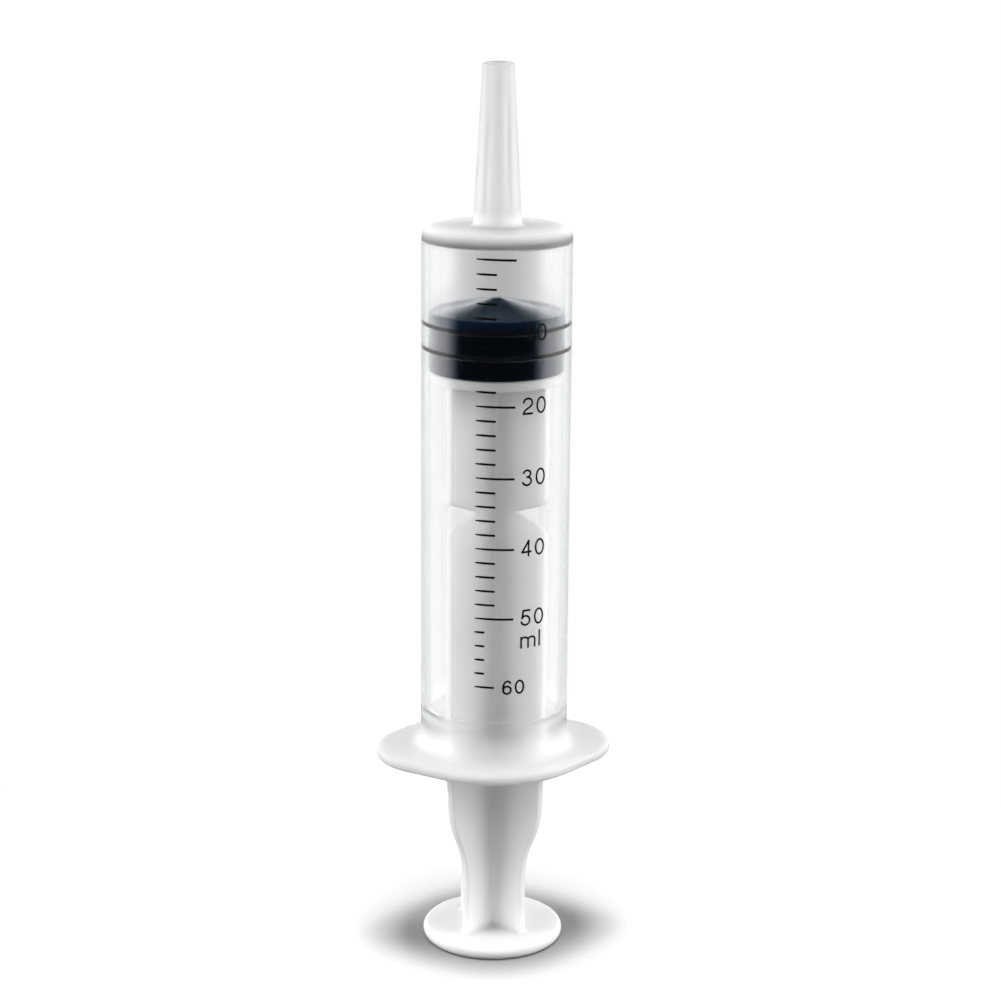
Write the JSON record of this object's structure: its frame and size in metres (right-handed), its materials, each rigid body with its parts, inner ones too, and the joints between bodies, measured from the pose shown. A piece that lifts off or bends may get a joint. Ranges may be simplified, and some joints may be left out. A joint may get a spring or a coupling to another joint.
{
  "type": "disposable syringe",
  "caption": "Disposable syringe with a tapered catheter tip, clear barrel with finger flange, black rubber stopper and white ribbed plunger rod.",
  "frame": {"origin": "centre of the thumb rest's underside", "axes": "+Z along the syringe to the tip, X along the two wings of the finger flange"},
  "size_m": [0.0512, 0.042, 0.1919],
  "materials": {
    "barrel_polypropylene": "moulded, translucent, smooth",
    "rod_polypropylene": "moulded, white, satin",
    "stopper_rubber": "moulded, black, siliconed"
  },
  "bodies": {
    "plunger_rod": {"plunger_rod": "rod_polypropylene"},
    "stopper": {"stopper": "stopper_rubber"},
    "barrel": {"barrel": "barrel_polypropylene"}
  },
  "joints": [
    {"name": "rod_swivel", "type": "hinge", "parent": "plunger_rod", "child": "stopper", "pos_m": [0, 0, 0.1284], "axis": [0, 0, 1], "continuous": true},
    {"name": "barrel_slide", "type": "slide", "parent": "stopper", "child": "barrel", "axis": [0, 0, 1], "range_m": [-0.01474, 0.078]}
  ]
}
